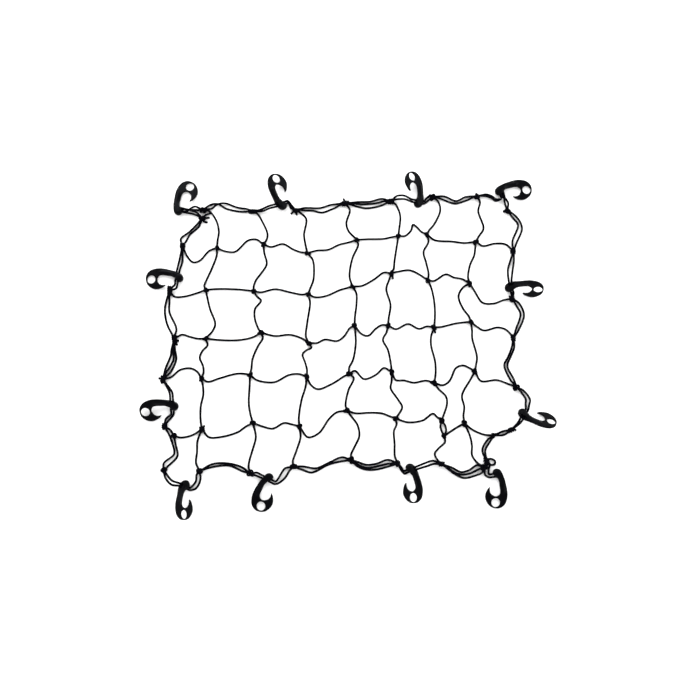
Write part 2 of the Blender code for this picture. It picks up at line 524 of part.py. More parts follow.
def hook_pose(verts, across, down, heading, side, roll):
    """The pose that rests a hook on the floor with its hole over the layout point."""
    turn = math.radians(heading)
    level = Vector((math.cos(turn), math.sin(turn), 0))
    mouth = Vector((math.sin(turn), -math.cos(turn), 0)) * side
    lean = math.radians(roll)
    up = Vector((0, 0, 1))

    def axes(pitch):
        along = level * math.cos(pitch) + up * math.sin(pitch)
        lift = up * math.cos(pitch) - level * math.sin(pitch)
        out = mouth * math.cos(lean) - lift * math.sin(lean)
        return Matrix((along, out, along.cross(out))).transposed()

    low = -0.6
    high = 0.6
    for _ in range(40):
        pitch = 0.5 * (low + high)
        turned = axes(pitch)
        heights = [(v.x, (turned @ v).z) for v in verts]
        foot = min(z for x, z in heights if x < 25 * MM)
        head = min(z for x, z in heights if x >= 25 * MM)
        if head < foot:
            low = pitch
        else:
            high = pitch
    turned = axes(pitch)
    floor = min((turned @ v).z for v in verts)
    hole = turned @ Vector((HOLE[0], HOLE[1], 0))
    place = floor_point(across, down, hole.z - floor)
    pose = turned.to_4x4()
    pose.translation = Vector((place.x - hole.x, place.y - hole.y, -floor))
    return pose


# ---- routes ------------------------------------------------------------------------------------

KNOT_AT = {row[0]: floor_point(row[1], row[2]) for row in KNOTS}


def eye_points(pose, before, rule):
    """A cord's points through a hook's eye, the lane straight or turned back."""
    mid = pose @ Vector((EYE_AT[0], EYE_AT[1], 0))
    along = pose.to_3x3() @ Vector((1, 0, 0))
    out = pose.to_3x3() @ Vector((0, 1, 0))
    lift = pose.to_3x3() @ Vector((0, 0, 1))
    if lift.z < 0:
        lift = -lift
    if rule[1] == "turn":
        level = lift * TURN_LAYER * (2 * rule[2] - 1)
        pairs = [(-1, 15), (-1, 9), (-1, 3), (-1, -2), (-0.72, -4.2), (0, -5), (0.72, -4.2),
                 (1, -2), (1, 3), (1, 9), (1, 15)]
        points = [mid + level + along * TURN_R * a + out * b * MM for a, b in pairs]
        if (points[-1] - before).length < (points[0] - before).length:
            points.reverse()
        return points
    lane = mid + along * LANE * rule[1]
    points = [lane + out * t * MM for t in (-14.5, -7, 0, 7, 14.5)]
    if (points[-1] - before).length < (points[0] - before).length:
        points.reverse()
    return points


def toward(start, other, distance):
    """A point a little way from start toward another."""
    return start + (other - start).normalized() * distance


def route(row, poses):
    """A border cord's points, knot to knot, with the heights it needs at a hook."""
    points = []
    exits = []
    for step in row[1:-1]:
        if isinstance(step[0], str):
            before = points[-1] if points else KNOT_AT[row[0]]
            through = eye_points(poses[step[0]], before, step)
            exits += [through[0], through[-1]]
            points += through
        else:
            points.append(floor_point(*step))
    placed = []
    for p in points:
        near = min(exits, key=lambda e: (e - p).length, default=None)
        if near is not None and p.z == CORD_Z:
            share = max(0.0, 1.0 - (near.xy - p.xy).length / EYE_DROP)
            p = Vector((p.x, p.y, CORD_Z + (near.z - CORD_Z) * share ** 1.5))
        placed.append(p)
    first = toward(KNOT_AT[row[0]], placed[0], END_IN)
    last = toward(KNOT_AT[row[-1]], placed[-1], END_IN)
    first.z = CORD_Z
    last.z = CORD_Z
    return [first] + placed + [last]


def stacked(samples, laid, poses):
    """Lifts a cord over those laid before it, except inside knots and hooks."""
    if not laid:
        return [Vector((p.x, p.y, max(p.z, CORD_Z))) for p in samples]
    under = np.array([tuple(p) for path in laid for p in path])
    lifts = np.zeros(len(samples))
    here = np.array([tuple(p) for p in samples])
    eyes = [pose @ Vector((EYE_AT[0], EYE_AT[1], 0)) for pose in poses.values()]
    for i, p in enumerate(here):
        if any((e.xy - samples[i].xy).length < 13 * MM for e in eyes):
            continue
        gap = np.hypot(under[:, 0] - p[0], under[:, 1] - p[1])
        near = gap < STACK
        if near.any():
            need = under[near, 2] + np.sqrt(STACK ** 2 - gap[near] ** 2) - p[2]
            close = under[near, 2] > p[2] - STACK
            lifts[i] = max(0.0, float(np.where(close, need, 0.0).max()))
            if min((k.xy - samples[i].xy).length for k in KNOT_AT.values()) < KNOT_NEAR:
                lifts[i] = min(lifts[i], max(0.0, CORD_Z + STACK - p[2]))
    run = np.concatenate(([0.0], np.cumsum(np.linalg.norm(np.diff(here, axis=0), axis=1))))
    free = np.ones(len(samples))
    for e in eyes:
        away = np.hypot(here[:, 0] - e.x, here[:, 1] - e.y)
        free = np.minimum(free, np.clip((away - 14 * MM) / (7 * MM), 0.0, 1.0))
    level = here[:, 2].copy()
    for i in np.nonzero(lifts)[0]:
        away = np.abs(run - run[i]) / STACK_RAMP
        share = np.clip(1.0 - away ** 2, 0.0, 1.0)
        here[:, 2] = np.maximum(here[:, 2], level + free * lifts[i] * share)
    return [Vector((p[0], p[1], max(p[2], CORD_Z))) for p in here]


# ---- build -------------------------------------------------------------------------------------

for old in list(bpy.data.objects):
    bpy.data.objects.remove(old)

black_plastic = material("hook plastic", (0.019, 0.020, 0.023), 0.38)
black_cord = material("elastic cord", (0.010, 0.010, 0.013), 0.72)

hook_poses = {}
for name, across, down, heading, side, roll in HOOKS:
    hook = hook_solid(name)
    corners = [v.co.copy() for v in hook.data.vertices]
    hook_poses[name] = hook_pose(corners, across, down, heading, side, roll)
    hook.data.transform(hook_poses[name])
    hook.data.materials.append(black_plastic)

pieces = [knot(*row) for row in KNOTS]
for row in MESH_DOWN + MESH_ACROSS:
    between = [floor_point(*p) for p in row[2:]]
    ends = (KNOT_AT[row[0]], KNOT_AT[row[1]])
    between.insert(0, toward(ends[0], between[0], END_IN))
    between.append(toward(ends[1], between[-1], END_IN))
    pieces.append(cord("leg", thinned(spline(between), CORD_TOL)))
border_laid = []
for row in BORDER:
    path = stacked(spline(route(row, hook_poses)), border_laid, hook_poses)
    border_laid.append(path)
    pieces.append(cord("strand", thinned(path, BORDER_TOL)))
net = pieces[0]
net.name = "net"
combine(net, pieces[1:], 'UNION', 'MANIFOLD')
fill_pockets(net)
net.data.materials.append(black_cord)
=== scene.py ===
"""Elastic cargo net laid out flat: knotted black elastic cord and twelve moulded hooks."""
import math

import bmesh
import bpy
import numpy as np
from mathutils import Matrix, Vector


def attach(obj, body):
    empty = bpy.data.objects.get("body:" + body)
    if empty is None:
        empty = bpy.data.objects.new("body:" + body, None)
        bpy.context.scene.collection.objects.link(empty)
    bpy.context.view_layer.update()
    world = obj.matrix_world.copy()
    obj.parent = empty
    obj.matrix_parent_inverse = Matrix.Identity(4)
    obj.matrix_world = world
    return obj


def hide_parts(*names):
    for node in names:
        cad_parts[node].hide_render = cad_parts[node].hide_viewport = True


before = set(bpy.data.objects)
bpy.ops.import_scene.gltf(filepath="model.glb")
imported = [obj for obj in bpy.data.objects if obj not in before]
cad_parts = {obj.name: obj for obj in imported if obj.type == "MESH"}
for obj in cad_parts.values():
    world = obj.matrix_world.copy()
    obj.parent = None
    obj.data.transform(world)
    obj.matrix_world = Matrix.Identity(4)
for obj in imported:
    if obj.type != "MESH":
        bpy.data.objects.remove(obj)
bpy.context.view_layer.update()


# ---- camera ------------------------------------------------------------------------------------
# Stands 1.5 m off, a little toward the near edge of the net.  The net's lie is given as points on
# a 700 x 700 layout grid drawn as this camera sees it.
EYE_FAR = 1.5
EYE_TILT = math.radians(8.0)
GRID_SCALE = 789.0
GRID_MID = (348.0, 348.0)
GRID_SHIFT = (-0.0010, 0.0121)
MM = 0.001
CORD_Z = 2.05 * MM


def floor_point(across, down, height=CORD_Z):
    """Where a layout point lies, at a height above the floor; as given, that of a cord's middle."""
    a = (across - GRID_MID[0]) / GRID_SCALE
    b = (GRID_MID[1] - down) / GRID_SCALE
    cos_t = math.cos(EYE_TILT)
    sin_t = math.sin(EYE_TILT)
    reach = (EYE_FAR * cos_t - height) / (cos_t - b * sin_t)
    x = reach * a
    y = reach * (sin_t + b * cos_t) - EYE_FAR * sin_t
    return Vector((x - GRID_SHIFT[0], y - GRID_SHIFT[1], height))


camera = bpy.data.objects.new("camera", bpy.data.cameras.new("camera"))
camera.location = (-GRID_SHIFT[0], -EYE_FAR * math.sin(EYE_TILT) - GRID_SHIFT[1],
                   EYE_FAR * math.cos(EYE_TILT))
camera.rotation_euler = (EYE_TILT, 0, 0)
camera.data.sensor_width = 36
camera.data.lens = 36 * GRID_SCALE / 700
camera.data.shift_x = 2 / 700
camera.data.shift_y = -2 / 700
bpy.context.scene.collection.objects.link(camera)
bpy.context.scene.camera = camera


# ---- hooks -------------------------------------------------------------------------------------
# Twelve J hooks moulded in one piece from black nylon: a flat head with a round hole, a curled
# prong, a ridged shank and a short tube across the foot, which the border cord runs through.
PLATE_T = 4.4 * MM
PLATE_ROUND = 1.3 * MM
HOLE = (63.6 * MM, 14.9 * MM)
HOLE_R = 8.1 * MM
CUT_THROUGH = 20 * MM
FOOT_AT = (10.3 * MM, 6.3 * MM)
FOOT_R = 8.4 * MM
FOOT_T = 12.6 * MM
FOOT_ROUND = 4.2 * MM
FOOT_END = 25 * MM
EYE_AT = (14.2 * MM, 6.3 * MM)
EYE_WIDE = 11.0 * MM
EYE_HIGH = 9.2 * MM
EYE_LONG = 80 * MM
EYE_ROUND = 1.8 * MM
SKIN_GRAIN = 0.5 * MM
SKIN_KEPT = 0.24

# Outline of the flat hook, mm: from the foot, across from the line of the hook's inner edge.
HOOK_OUTLINE = (
    (8, -2.0), (13, -3.9), (19, -5.5), (26, -6.8), (34, -8.0), (42, -8.8), (50, -8.7),
    (57, -7.4), (63, -5.2), (68, -2.2), (72, 2.4), (74.4, 8.0), (74.6, 13.6), (72.8, 20.6),
    (69, 26.2), (64, 29.9), (58, 32.4), (51.5, 33.0), (45.5, 31.3), (40, 28.4), (36.2, 25.4),
    (33.8, 21.8), (38.4, 23.2), (43, 23.2), (47.4, 21.2), (50.8, 17.2), (52.6, 12.6),
    (51.4, 8.4), (48.4, 5.2), (43, 4.1), (34, 4.2), (25, 4.5), (22.4, 5.4), (16, 8.6), (8, 6))
# The thick bar from foot to head, mm: along, its middle line, half its width, half its
# thickness at the edges and at the ridge.
HOOK_BAR = ((6, 5.2, 6.0, 4.2, 5.3), (11, 3.7, 6.4, 5.5, 6.1), (16, 1.9, 6.1, 5.6, 6.1),
            (20.5, 0.4, 5.8, 5.4, 5.9), (25, -1.0, 5.5, 3.9, 5.1), (30, -1.7, 5.6, 2.9, 4.6),
            (36, -2.0, 5.8, 2.1, 4.3), (46, -2.2, 6.0, 1.8, 4.1))
BAR_END = (60, -0.6)
PRONG_TIP = 21

# Hooks: name, hole middle on the layout, heading from +X, mouth side (+1 right), roll.
HOOKS = (
    ("hook_01", 190.0, 187.0, 76.5, 1, 0),
    ("hook_02", 276.3, 179.0, 111.5, 1, 28),
    ("hook_03", 412.0, 176.8, 94.5, -1, -33),
    ("hook_04", 526.3, 190.0, 13.0, 1, 0),
    ("hook_05", 538.0, 289.5, -1.0, 1, 55),
    ("hook_06", 551.0, 421.6, -25.0, -1, 42),
    ("hook_07", 495.6, 502.5, -84.5, 1, 0),
    ("hook_08", 413.3, 497.5, -77.0, 1, 33),
    ("hook_09", 261.0, 506.0, -114.5, -1, 0),
    ("hook_10", 184.0, 514.3, -94.0, -1, 54),
    ("hook_11", 145.5, 412.0, -177.5, -1, 18),
    ("hook_12", 151.4, 279.5, 173.0, -1, 0))


def moulded_plastic(name, colour, rough):
    """Black nylon as it comes from a tool: fine grain, faint flow mottle, soft gloss."""
    mat = bpy.data.materials.new(name)
    mat.use_nodes = True
    nodes = mat.node_tree.nodes
    links = mat.node_tree.links
    shader = nodes["Principled BSDF"]
    shader.inputs["Specular IOR Level"].default_value = 0.04
    shader.inputs["Specular Tint"].default_value = (0.86, 0.90, 1, 1)
    place = nodes.new("ShaderNodeTexCoord")
    mottle = nodes.new("ShaderNodeTexNoise")
    mottle.inputs["Scale"].default_value = 60
    mottle.inputs["Detail"].default_value = 4
    grain = nodes.new("ShaderNodeTexNoise")
    grain.inputs["Scale"].default_value = 2600
    grain.inputs["Detail"].default_value = 2
    tint = nodes.new("ShaderNodeValToRGB")
    tint.color_ramp.elements[0].position = 0.35
    tint.color_ramp.elements[0].color = (*(0.8 * c for c in colour), 1)
    tint.color_ramp.elements[1].position = 0.7
    tint.color_ramp.elements[1].color = (*(1.25 * c for c in colour), 1)
    gloss = nodes.new("ShaderNodeMapRange")
    gloss.inputs["From Min"].default_value = 0.3
    gloss.inputs["From Max"].default_value = 0.7
    gloss.inputs["To Min"].default_value = rough - 0.05
    gloss.inputs["To Max"].default_value = rough + 0.07
    bump = nodes.new("ShaderNodeBump")
    bump.inputs["Strength"].default_value = 0.05
    bump.inputs["Distance"].default_value = 0.0002
    links.new(place.outputs["Object"], mottle.inputs["Vector"])
    links.new(place.outputs["Object"], grain.inputs["Vector"])
    links.new(mottle.outputs["Fac"], tint.inputs["Fac"])
    links.new(tint.outputs["Color"], shader.inputs["Base Color"])
    links.new(mottle.outputs["Fac"], gloss.inputs["Value"])
    links.new(gloss.outputs["Result"], shader.inputs["Roughness"])
    links.new(grain.outputs["Fac"], bump.inputs["Height"])
    links.new(bump.outputs["Normal"], shader.inputs["Normal"])
    return mat


def new_object(name, verts, faces):
    """A mesh as an object in the scene, its faces out."""
    mesh = bpy.data.meshes.new(name)
    mesh.from_pydata([tuple(v) for v in verts], [], faces)
    bm = bmesh.new()
    bm.from_mesh(mesh)
    bmesh.ops.recalc_face_normals(bm, faces=bm.faces)
    bm.to_mesh(mesh)
    bm.free()
    obj = bpy.data.objects.new(name, mesh)
    bpy.context.scene.collection.objects.link(obj)
    return obj


def rounded_outline():
    """The hook's outline as a close smooth loop, sharp only at the prong's tip."""
    pts = [Vector((x * MM, y * MM)) for x, y in HOOK_OUTLINE]
    count = len(pts)
    loop = []
    for i in range(count):
        p1 = pts[i]
        p2 = pts[(i + 1) % count]
        p0 = pts[i - 1]
        p3 = pts[(i + 2) % count]
        if i == PRONG_TIP or i in (0, count - 1):
            p0 = 2 * p1 - p2
        if (i + 1) % count in (PRONG_TIP, 0, count - 1):
            p3 = 2 * p2 - p1
        for k in range(6):
            t = k / 6
            loop.append(0.5 * (2 * p1 + (p2 - p0) * t + (2 * p0 - 5 * p1 + 4 * p2 - p3) * t * t
                               + (3 * p1 - p0 - 3 * p2 + p3) * t ** 3))
    return loop


def round_bar(name, x, y, radius, thick, sides):
    """A round bar through the hook's thickness."""
    verts = []
    for end in (-0.5, 0.5):
        for k in range(sides):
            angle = math.tau * (k + 0.5) / sides
            verts.append((x + radius * math.cos(angle), y + radius * math.sin(angle), end * thick))
    faces = [tuple(range(sides - 1, -1, -1)), tuple(range(sides, 2 * sides))]
    faces += [(k, (k + 1) % sides, sides + (k + 1) % sides, sides + k) for k in range(sides)]
    return new_object(name, verts, faces)


def square_bar(name, x, y, wide, long, high):
    """A four-sided bar across the hook's foot."""
    verts = []
    for side in (-0.5, 0.5):
        for a, b in ((-0.5, -0.5), (0.5, -0.5), (0.5, 0.5), (-0.5, 0.5)):
            verts.append((x + side * wide, y + a * long, b * high))
    faces = [(3, 2, 1, 0), (4, 5, 6, 7)]
    faces += [(k, (k + 1) % 4, 4 + (k + 1) % 4, 4 + k) for k in range(4)]
    return new_object(name, verts, faces)


def apply_modifiers(obj):
    """Bakes an object's modifiers into its mesh."""
    graph = bpy.context.evaluated_depsgraph_get()
    made = bpy.data.meshes.new_from_object(obj.evaluated_get(graph))
    obj.modifiers.clear()
    obj.data = made


def round_edges(obj, width):
    """Rounds an object's sharp edges."""
    bevel = obj.modifiers.new("round", 'BEVEL')
    bevel.width = width
    bevel.segments = 3
    bevel.limit_method = 'ANGLE'
    bevel.angle_limit = math.radians(50)
    apply_modifiers(obj)


def join_or_cut(base, others, operation):
    """Joins the others to the base, or cuts them out of it."""
    for other in others:
        step = base.modifiers.new("step", 'BOOLEAN')
        step.operation = operation
        step.object = other
        step.solver = 'EXACT'
    apply_modifiers(base)
    for other in others:
        bpy.data.objects.remove(other)


def moulded_hook():
    """One hook lying flat about Z = 0: foot at X = 0, mouth toward +Y."""
    loop = rounded_outline()
    count = len(loop)
    verts = [(p.x, p.y, -0.5 * PLATE_T) for p in loop] + [(p.x, p.y, 0.5 * PLATE_T) for p in loop]
    faces = [tuple(range(count - 1, -1, -1)), tuple(range(count, 2 * count))]
    faces += [(k, (k + 1) % count, count + (k + 1) % count, count + k) for k in range(count)]
    hook = new_object("hook form", verts, faces)
    round_edges(hook, PLATE_ROUND)
    verts = []
    faces = [tuple(range(5, -1, -1))]
    for i, (along, middle, half, edge, crest) in enumerate(HOOK_BAR):
        for y, z in ((-half, -edge), (0, -crest), (half, -edge),
                     (half, edge), (0, crest), (-half, edge)):
            verts.append((along * MM, (middle + y) * MM, z * MM))
        for k in range(6 if i else 0):
            n = (k + 1) % 6
            faces.append((6 * i - 6 + k, 6 * i - 6 + n, 6 * i + n))
            faces.append((6 * i - 6 + k, 6 * i + n, 6 * i + k))
    last = 6 * (len(HOOK_BAR) - 1)
    verts.append((BAR_END[0] * MM, BAR_END[1] * MM, 0))
    faces += [(last + k, last + (k + 1) % 6, len(verts) - 1) for k in range(6)]
    bar = new_object("bar", verts, faces)
    foot = round_bar("foot", *FOOT_AT, FOOT_R, FOOT_T, 48)
    round_edges(foot, FOOT_ROUND)
    join_or_cut(hook, [bar, foot], 'UNION')
    slot = square_bar("slot", *EYE_AT, EYE_WIDE, EYE_LONG, EYE_HIGH)
    round_edges(slot, EYE_ROUND)
    hole = round_bar("hole", *HOLE, HOLE_R, CUT_THROUGH, 48)
    join_or_cut(hook, [hole, slot], 'DIFFERENCE')
    remesh = hook.modifiers.new("skin", 'REMESH')
    remesh.mode = 'VOXEL'
    remesh.voxel_size = SKIN_GRAIN
    soften = hook.modifiers.new("soften", 'SMOOTH')
    soften.factor = 0.5
    soften.iterations = 5
    thin = hook.modifiers.new("thin", 'DECIMATE')
    thin.ratio = SKIN_KEPT
    apply_modifiers(hook)
    return hook


def hook_pose(verts, across, down, heading, side, roll):
    """The pose that rests a hook on the floor with its hole over the layout point."""
    turn = math.radians(heading)
    level = Vector((math.cos(turn), math.sin(turn), 0))
    mouth = Vector((math.sin(turn), -math.cos(turn), 0)) * side
    lean = math.radians(roll)
    up = Vector((0, 0, 1))
    places = np.array([tuple(v) for v in verts])
    foot_part = places[:, 0] < FOOT_END

    def axes(pitch):
        along = level * math.cos(pitch) + up * math.sin(pitch)
        lift = up * math.cos(pitch) - level * math.sin(pitch)
        out = mouth * math.cos(lean) - lift * math.sin(lean)
        return Matrix((along, out, along.cross(out))).transposed()

    low = -0.6
    high = 0.6
    for _ in range(40):
        pitch = 0.5 * (low + high)
        heights = places @ np.array(axes(pitch)[2])
        if heights[~foot_part].min() < heights[foot_part].min():
            low = pitch
        else:
            high = pitch
    turned = axes(pitch)
    floor = float((places @ np.array(turned[2])).min())
    hole = turned @ Vector((HOLE[0], HOLE[1], 0))
    place = floor_point(across, down, hole.z - floor)
    pose = turned.to_4x4()
    pose.translation = Vector((place.x - hole.x, place.y - hole.y, -floor))
    return pose


hook_plastic = moulded_plastic("hook plastic", (0.0007, 0.0007, 0.0011), 0.32)
hook_form = moulded_hook()
hook_poses = {}
for name, across, down, heading, side, roll in HOOKS:
    hook = bpy.data.objects.new(name + "_moulded", hook_form.data.copy())
    bpy.context.scene.collection.objects.link(hook)
    corners = [v.co.copy() for v in hook.data.vertices]
    hook_poses[name] = hook_pose(corners, across, down, heading, side, roll)
    hook.data.transform(hook_poses[name])
    if hook_poses[name].determinant() < 0:
        hook.data.flip_normals()
    hook.data.shade_smooth()
    hook.data.materials.append(hook_plastic)
    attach(hook, "root")
    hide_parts(name)
bpy.data.objects.remove(hook_form)


# ---- net ---------------------------------------------------------------------------------------
# Round elastic cord, rubber strands in a tight braided polyester sheath, 4 mm thick.  The mesh is
# single cord knotted at every crossing; the border is two or three cords, knotted to the mesh.
CORD_R = 2.08 * MM
CORD_SIDES = 10
END_IN = 2.7 * MM
KNOT_DROP = 13 * MM
STACK = 4.0 * MM
STACK_RAMP = 12 * MM
KNOT_NEAR = 10 * MM
LANE = 2.5 * MM
EYE_DROP = 44 * MM
EYE_NEAR = 13 * MM
EYE_CLEAR = 14 * MM
EYE_FADE = 7 * MM
TURN_LAYER = 2.05 * MM
TURN_R = 2.8 * MM
KNOT_CORD_R = 1.95 * MM
KNOT_MID = 0.45
KNOT_OPEN = 1.34
WOUND_FROM = 14

# Knots: name, layout point, length mm, width mm, height mm, turn of the length from +X.
KNOTS = (
    ("k11", 217.0, 248.0, 10, 9, 8, 0), ("k12", 263.5, 244.5, 10, 9, 8, 45),
    ("k13", 307.5, 253.3, 11, 9, 8, 0), ("k14", 357.0, 240.0, 10, 9, 8, 60),
    ("k15", 398.3, 236.3, 10, 9, 8, 90), ("k16", 427.0, 235.0, 14, 9, 8, 118),
    ("k17", 475.7, 242.0, 11, 9, 8, 30),
    ("k21", 206.0, 290.0, 10, 9, 8, 0), ("k22", 253.5, 291.3, 10, 9, 8, 20),
    ("k23", 308.0, 294.3, 10, 9, 8, 0), ("k24", 352.3, 286.7, 11, 9, 8, 150),
    ("k25", 391.3, 273.5, 11, 9, 8, 100), ("k26", 427.7, 280.5, 11, 9, 8, 120),
    ("k27", 469.5, 283.5, 13, 9, 8, 110),
    ("k31", 205.5, 338.7, 11, 9, 8, 30), ("k32", 261.0, 332.7, 13, 9, 8, 10),
    ("k33", 308.5, 343.0, 13, 9, 8, 150), ("k34", 354.5, 325.5, 11, 9, 8, 120),
    ("k35", 388.0, 325.7, 11, 9, 8, 70), ("k36", 434.0, 327.5, 14, 10, 8, 110),
    ("k37", 470.7, 322.0, 11, 9, 8, 0),
    ("k41", 201.3, 378.5, 11, 9, 8, 60), ("k42", 250.0, 375.0, 11, 9, 8, 60),
    ("k43", 306.7, 377.0, 13, 9, 8, 100), ("k44", 349.0, 374.0, 12, 9, 8, 0),
    ("k45", 391.7, 372.0, 12, 9, 8, 90), ("k46", 434.0, 383.0, 13, 10, 8, 150),
    ("k47", 474.7, 371.3, 12, 10, 8, 110),
    ("k51", 202.0, 429.5, 14, 11, 8, 110), ("k52", 253.0, 423.0, 11, 9, 8, 150),
    ("k53", 299.3, 426.5, 11, 9, 8, 45), ("k54", 347.0, 410.7, 13, 10, 8, 0),
    ("k55", 395.5, 418.5, 11, 9, 8, 0), ("k56", 441.5, 420.5, 12, 10, 8, 120),
    ("k56b", 444.0, 436.0, 10, 9, 8, 90), ("k57", 464.3, 423.3, 12, 10, 8, 100),
    ("T1", 203.0, 210.5, 12, 11, 9.5, 0), ("TC", 202.5, 218.5, 15, 11, 9.5, 20),
    ("T2", 252.5, 211.5, 18, 11, 9.5, 0), ("T3", 295.5, 210.5, 14, 11, 9.5, 0),
    ("T4", 345.0, 203.5, 18, 12, 9.5, 10), ("T5", 390.8, 201.5, 15, 13, 9.5, 0),
    ("T6", 432.0, 197.0, 13, 12, 9.5, 90), ("T7", 477.0, 196.5, 12, 10, 9.5, 90),
    ("L1", 182.5, 246.0, 14, 12, 9.5, 90), ("L2", 169.7, 291.0, 22, 11, 9.5, 90),
    ("L3", 174.5, 339.0, 20, 12, 9.5, 100), ("L4", 163.0, 379.5, 17, 12, 9.5, 90),
    ("L5", 164.5, 426.5, 14, 12, 9.5, 90), ("L5b", 174.0, 436.0, 11, 10, 9.5, 120),
    ("L6", 164.0, 470.5, 12, 11, 9.5, 90),
    ("R0", 507.0, 210.8, 13, 11, 9.5, 0), ("R1", 513.0, 251.5, 14, 12, 9.5, 90),
    ("R2", 512.0, 299.0, 15, 12, 9.5, 100), ("R3", 513.3, 338.0, 16, 11, 9.5, 90),
    ("R4", 516.0, 387.0, 13, 12, 9.5, 90), ("R5", 511.0, 430.0, 16, 11, 9.5, 20),
    ("R5b", 493.5, 435.5, 12, 9, 9.5, 40),
    ("B1", 199.7, 471.0, 14, 12, 9.5, 0), ("B2", 250.7, 473.5, 13, 12, 9.5, 0),
    ("B3", 293.5, 466.5, 14, 11, 9.5, 0), ("B4", 351.0, 460.0, 13, 11, 9.5, 90),
    ("B5", 397.7, 463.5, 14, 11, 9.5, 90), ("B6", 441.5, 464.0, 14, 11, 9.5, 0),
    ("B7", 484.0, 467.5, 13, 11, 9.5, 0), ("B8", 486.5, 461.5, 17, 12, 9.5, 100))

# Mesh cords running down the net: knot, knot, layout points between them.
MESH_DOWN = (
    ("T1", "k11", (209, 211), (216, 220), (218.8, 231), (217.5, 241)),
    ("k11", "k21", (216.8, 255), (212.5, 267), (207, 279), (204.3, 286)),
    ("k21", "k31", (207.2, 297), (210, 309), (215.2, 324), (212.5, 331)),
    ("k31", "k41", (207.6, 345), (202, 351.5), (199.8, 358), (203, 366), (203.5, 373)),
    ("k41", "k51", (202.8, 385), (203.2, 395), (200.7, 406), (200.5, 420)),
    ("k51", "B1", (197.5, 441), (197, 452), (196, 463)),
    ("T2", "k12", (257.5, 214), (262, 221), (267.5, 234), (266.5, 240)),
    ("k12", "k22", (264.3, 253), (266.7, 264), (261, 273.5), (256, 280), (253.8, 286)),
    ("k22", "k32", (257, 296.5), (261, 300.5), (255, 309), (254.7, 318), (258, 328)),
    ("k32", "k42", (262.8, 338), (258, 346), (252.5, 359), (251.5, 368)),
    ("k42", "k52", (249.6, 386), (248.7, 402), (250.3, 414)),
    ("k52", "B2", (255.8, 437), (252.5, 450), (249.5, 460), (248.6, 467)),
    ("T3", "k13", (300.5, 213), (306.2, 219), (304, 235), (306, 247)),
    ("k13", "k23", (312.8, 260), (313.5, 279), (310, 289)),
    ("k23", "k33", (310, 302), (307, 324), (305.8, 336)),
    ("k33", "k43", (311.5, 347.5), (306, 350.5), (302.5, 354.5), (305, 362), (307, 370)),
    ("k43", "k53", (305.5, 387), (301.5, 400), (298.8, 418)),
    ("k53", "B3", (300.5, 437), (296.3, 451), (292.8, 461)),
    ("T4", "k14", (349.8, 210), (346.3, 223), (348.5, 231), (353, 236)),
    ("k14", "k24", (358.2, 245), (352.5, 258), (349.5, 276)),
    ("k24", "k34", (356.3, 293), (356.3, 306), (355, 316)),
    ("k34", "k44", (355.2, 332), (355.8, 343), (353, 360), (349, 368)),
    ("k44", "k54", (353.8, 378), (348.5, 390), (345.5, 405)),
    ("k54", "B4", (351, 416), (357.5, 425), (359.3, 436), (355, 446), (351, 454.5)),
    ("T5", "k15", (396, 205), (400.2, 216), (399, 230)),
    ("k15", "k25", (396.8, 246), (394.3, 262.5), (393.8, 268.5)),
    ("k25", "k35", (389, 280), (386.3, 289), (390.5, 305), (388.7, 318)),
    ("k35", "k45", (386.5, 332.5), (382.9, 339.5), (388, 350), (391, 365)),
    ("k45", "k55", (391.5, 382), (390.6, 388), (398, 399.5), (402.2, 407), (398.5, 414.5)),
    ("k55", "B5", (396.6, 424.5), (393.9, 431), (394.6, 444), (394.8, 456)),
    ("T6", "k16", (438, 201.5), (440.3, 210), (434, 224.5), (429, 230.5)),
    ("k16", "k26", (428.4, 242), (423.5, 252), (426, 262), (428.6, 274)),
    ("k26", "k36", (431, 287), (434.3, 302), (434.9, 318)),
    ("k36", "k46", (431.2, 336), (431, 345), (435.2, 362), (435.5, 375)),
    ("k46", "k56", (438.5, 389), (446, 396.5), (447, 404), (444, 414)),
    ("k56", "k56b", (440.4, 426.5), (441.6, 431)),
    ("k56", "k56b", (445.4, 426), (446, 431)),
    ("k56b", "B6", (445.2, 441.8), (438, 449), (434.7, 454), (438, 460.5)),
    ("T7", "k17", (480, 202.5), (478.2, 211), (483.5, 228.5), (479, 236)),
    ("k17", "k27", (474.3, 255), (470, 265), (468, 277)),
    ("k27", "k37", (463, 287.5), (458.5, 296), (463, 308.5), (469, 316.5)),
    ("k37", "k47", (472, 330), (472.2, 338), (477, 357), (476, 365)),
    ("k47", "k57", (470.5, 379.5), (462, 395.5), (464.3, 407), (463.4, 416)),
    ("k57", "B7", (470, 436), (472, 446), (472, 455), (477, 462.5)))

